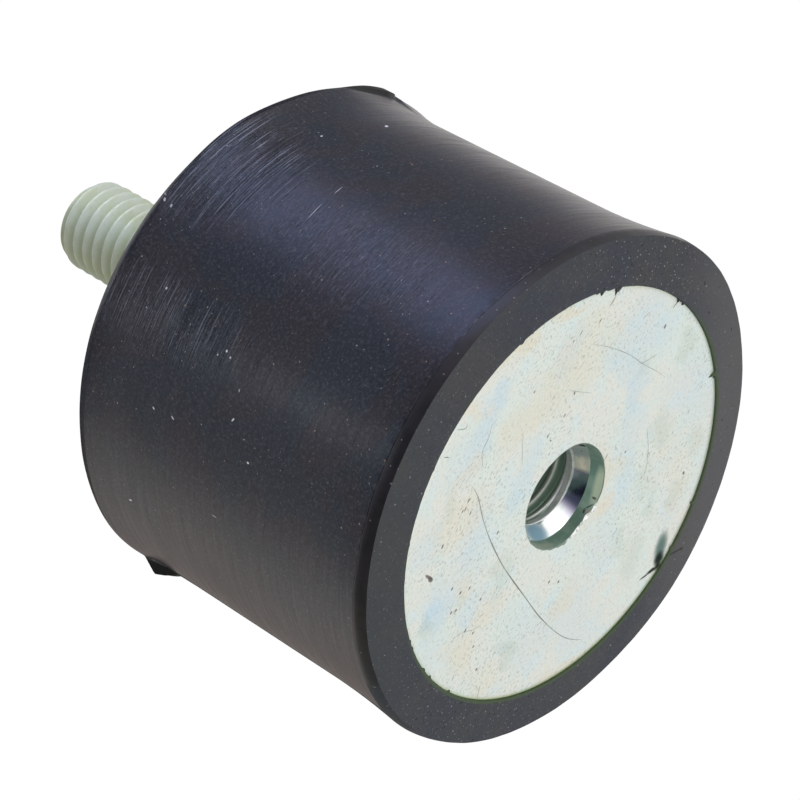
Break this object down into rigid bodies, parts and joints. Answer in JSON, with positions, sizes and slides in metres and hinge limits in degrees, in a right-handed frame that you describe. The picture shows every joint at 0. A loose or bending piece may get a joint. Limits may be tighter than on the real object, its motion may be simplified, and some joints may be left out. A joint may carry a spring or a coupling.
{
  "type": "bobbin vibration mount",
  "caption": "Cylindrical rubber vibration mount between bonded steel plates, with a threaded stud at the bottom and a blind threaded socket at the top.",
  "frame": {"origin": "centre of the stud plate's outer face, where the mount is bolted down, on the axis of the stud", "axes": "+Z along the axis, from the stud plate to the socket plate, with the stud pointing along -Z; +X towards the torn-off gate stub on the rubber"},
  "size_m": [0.0528, 0.052, 0.0682],
  "materials": {
    "rubber": "satin black natural rubber",
    "plate_zinc": "steel, zinc-plated and passivated, with blue and yellow patches",
    "bush_zinc": "steel, zinc-plated, threaded inside",
    "stud_zinc": "steel, zinc-plated, threaded"
  },
  "bodies": {
    "root": {"rubber_body": "rubber", "socket_plate": "plate_zinc", "threaded_bush": "bush_zinc", "stud_plate": "plate_zinc", "stud": "stud_zinc"}
  },
  "joints": []
}
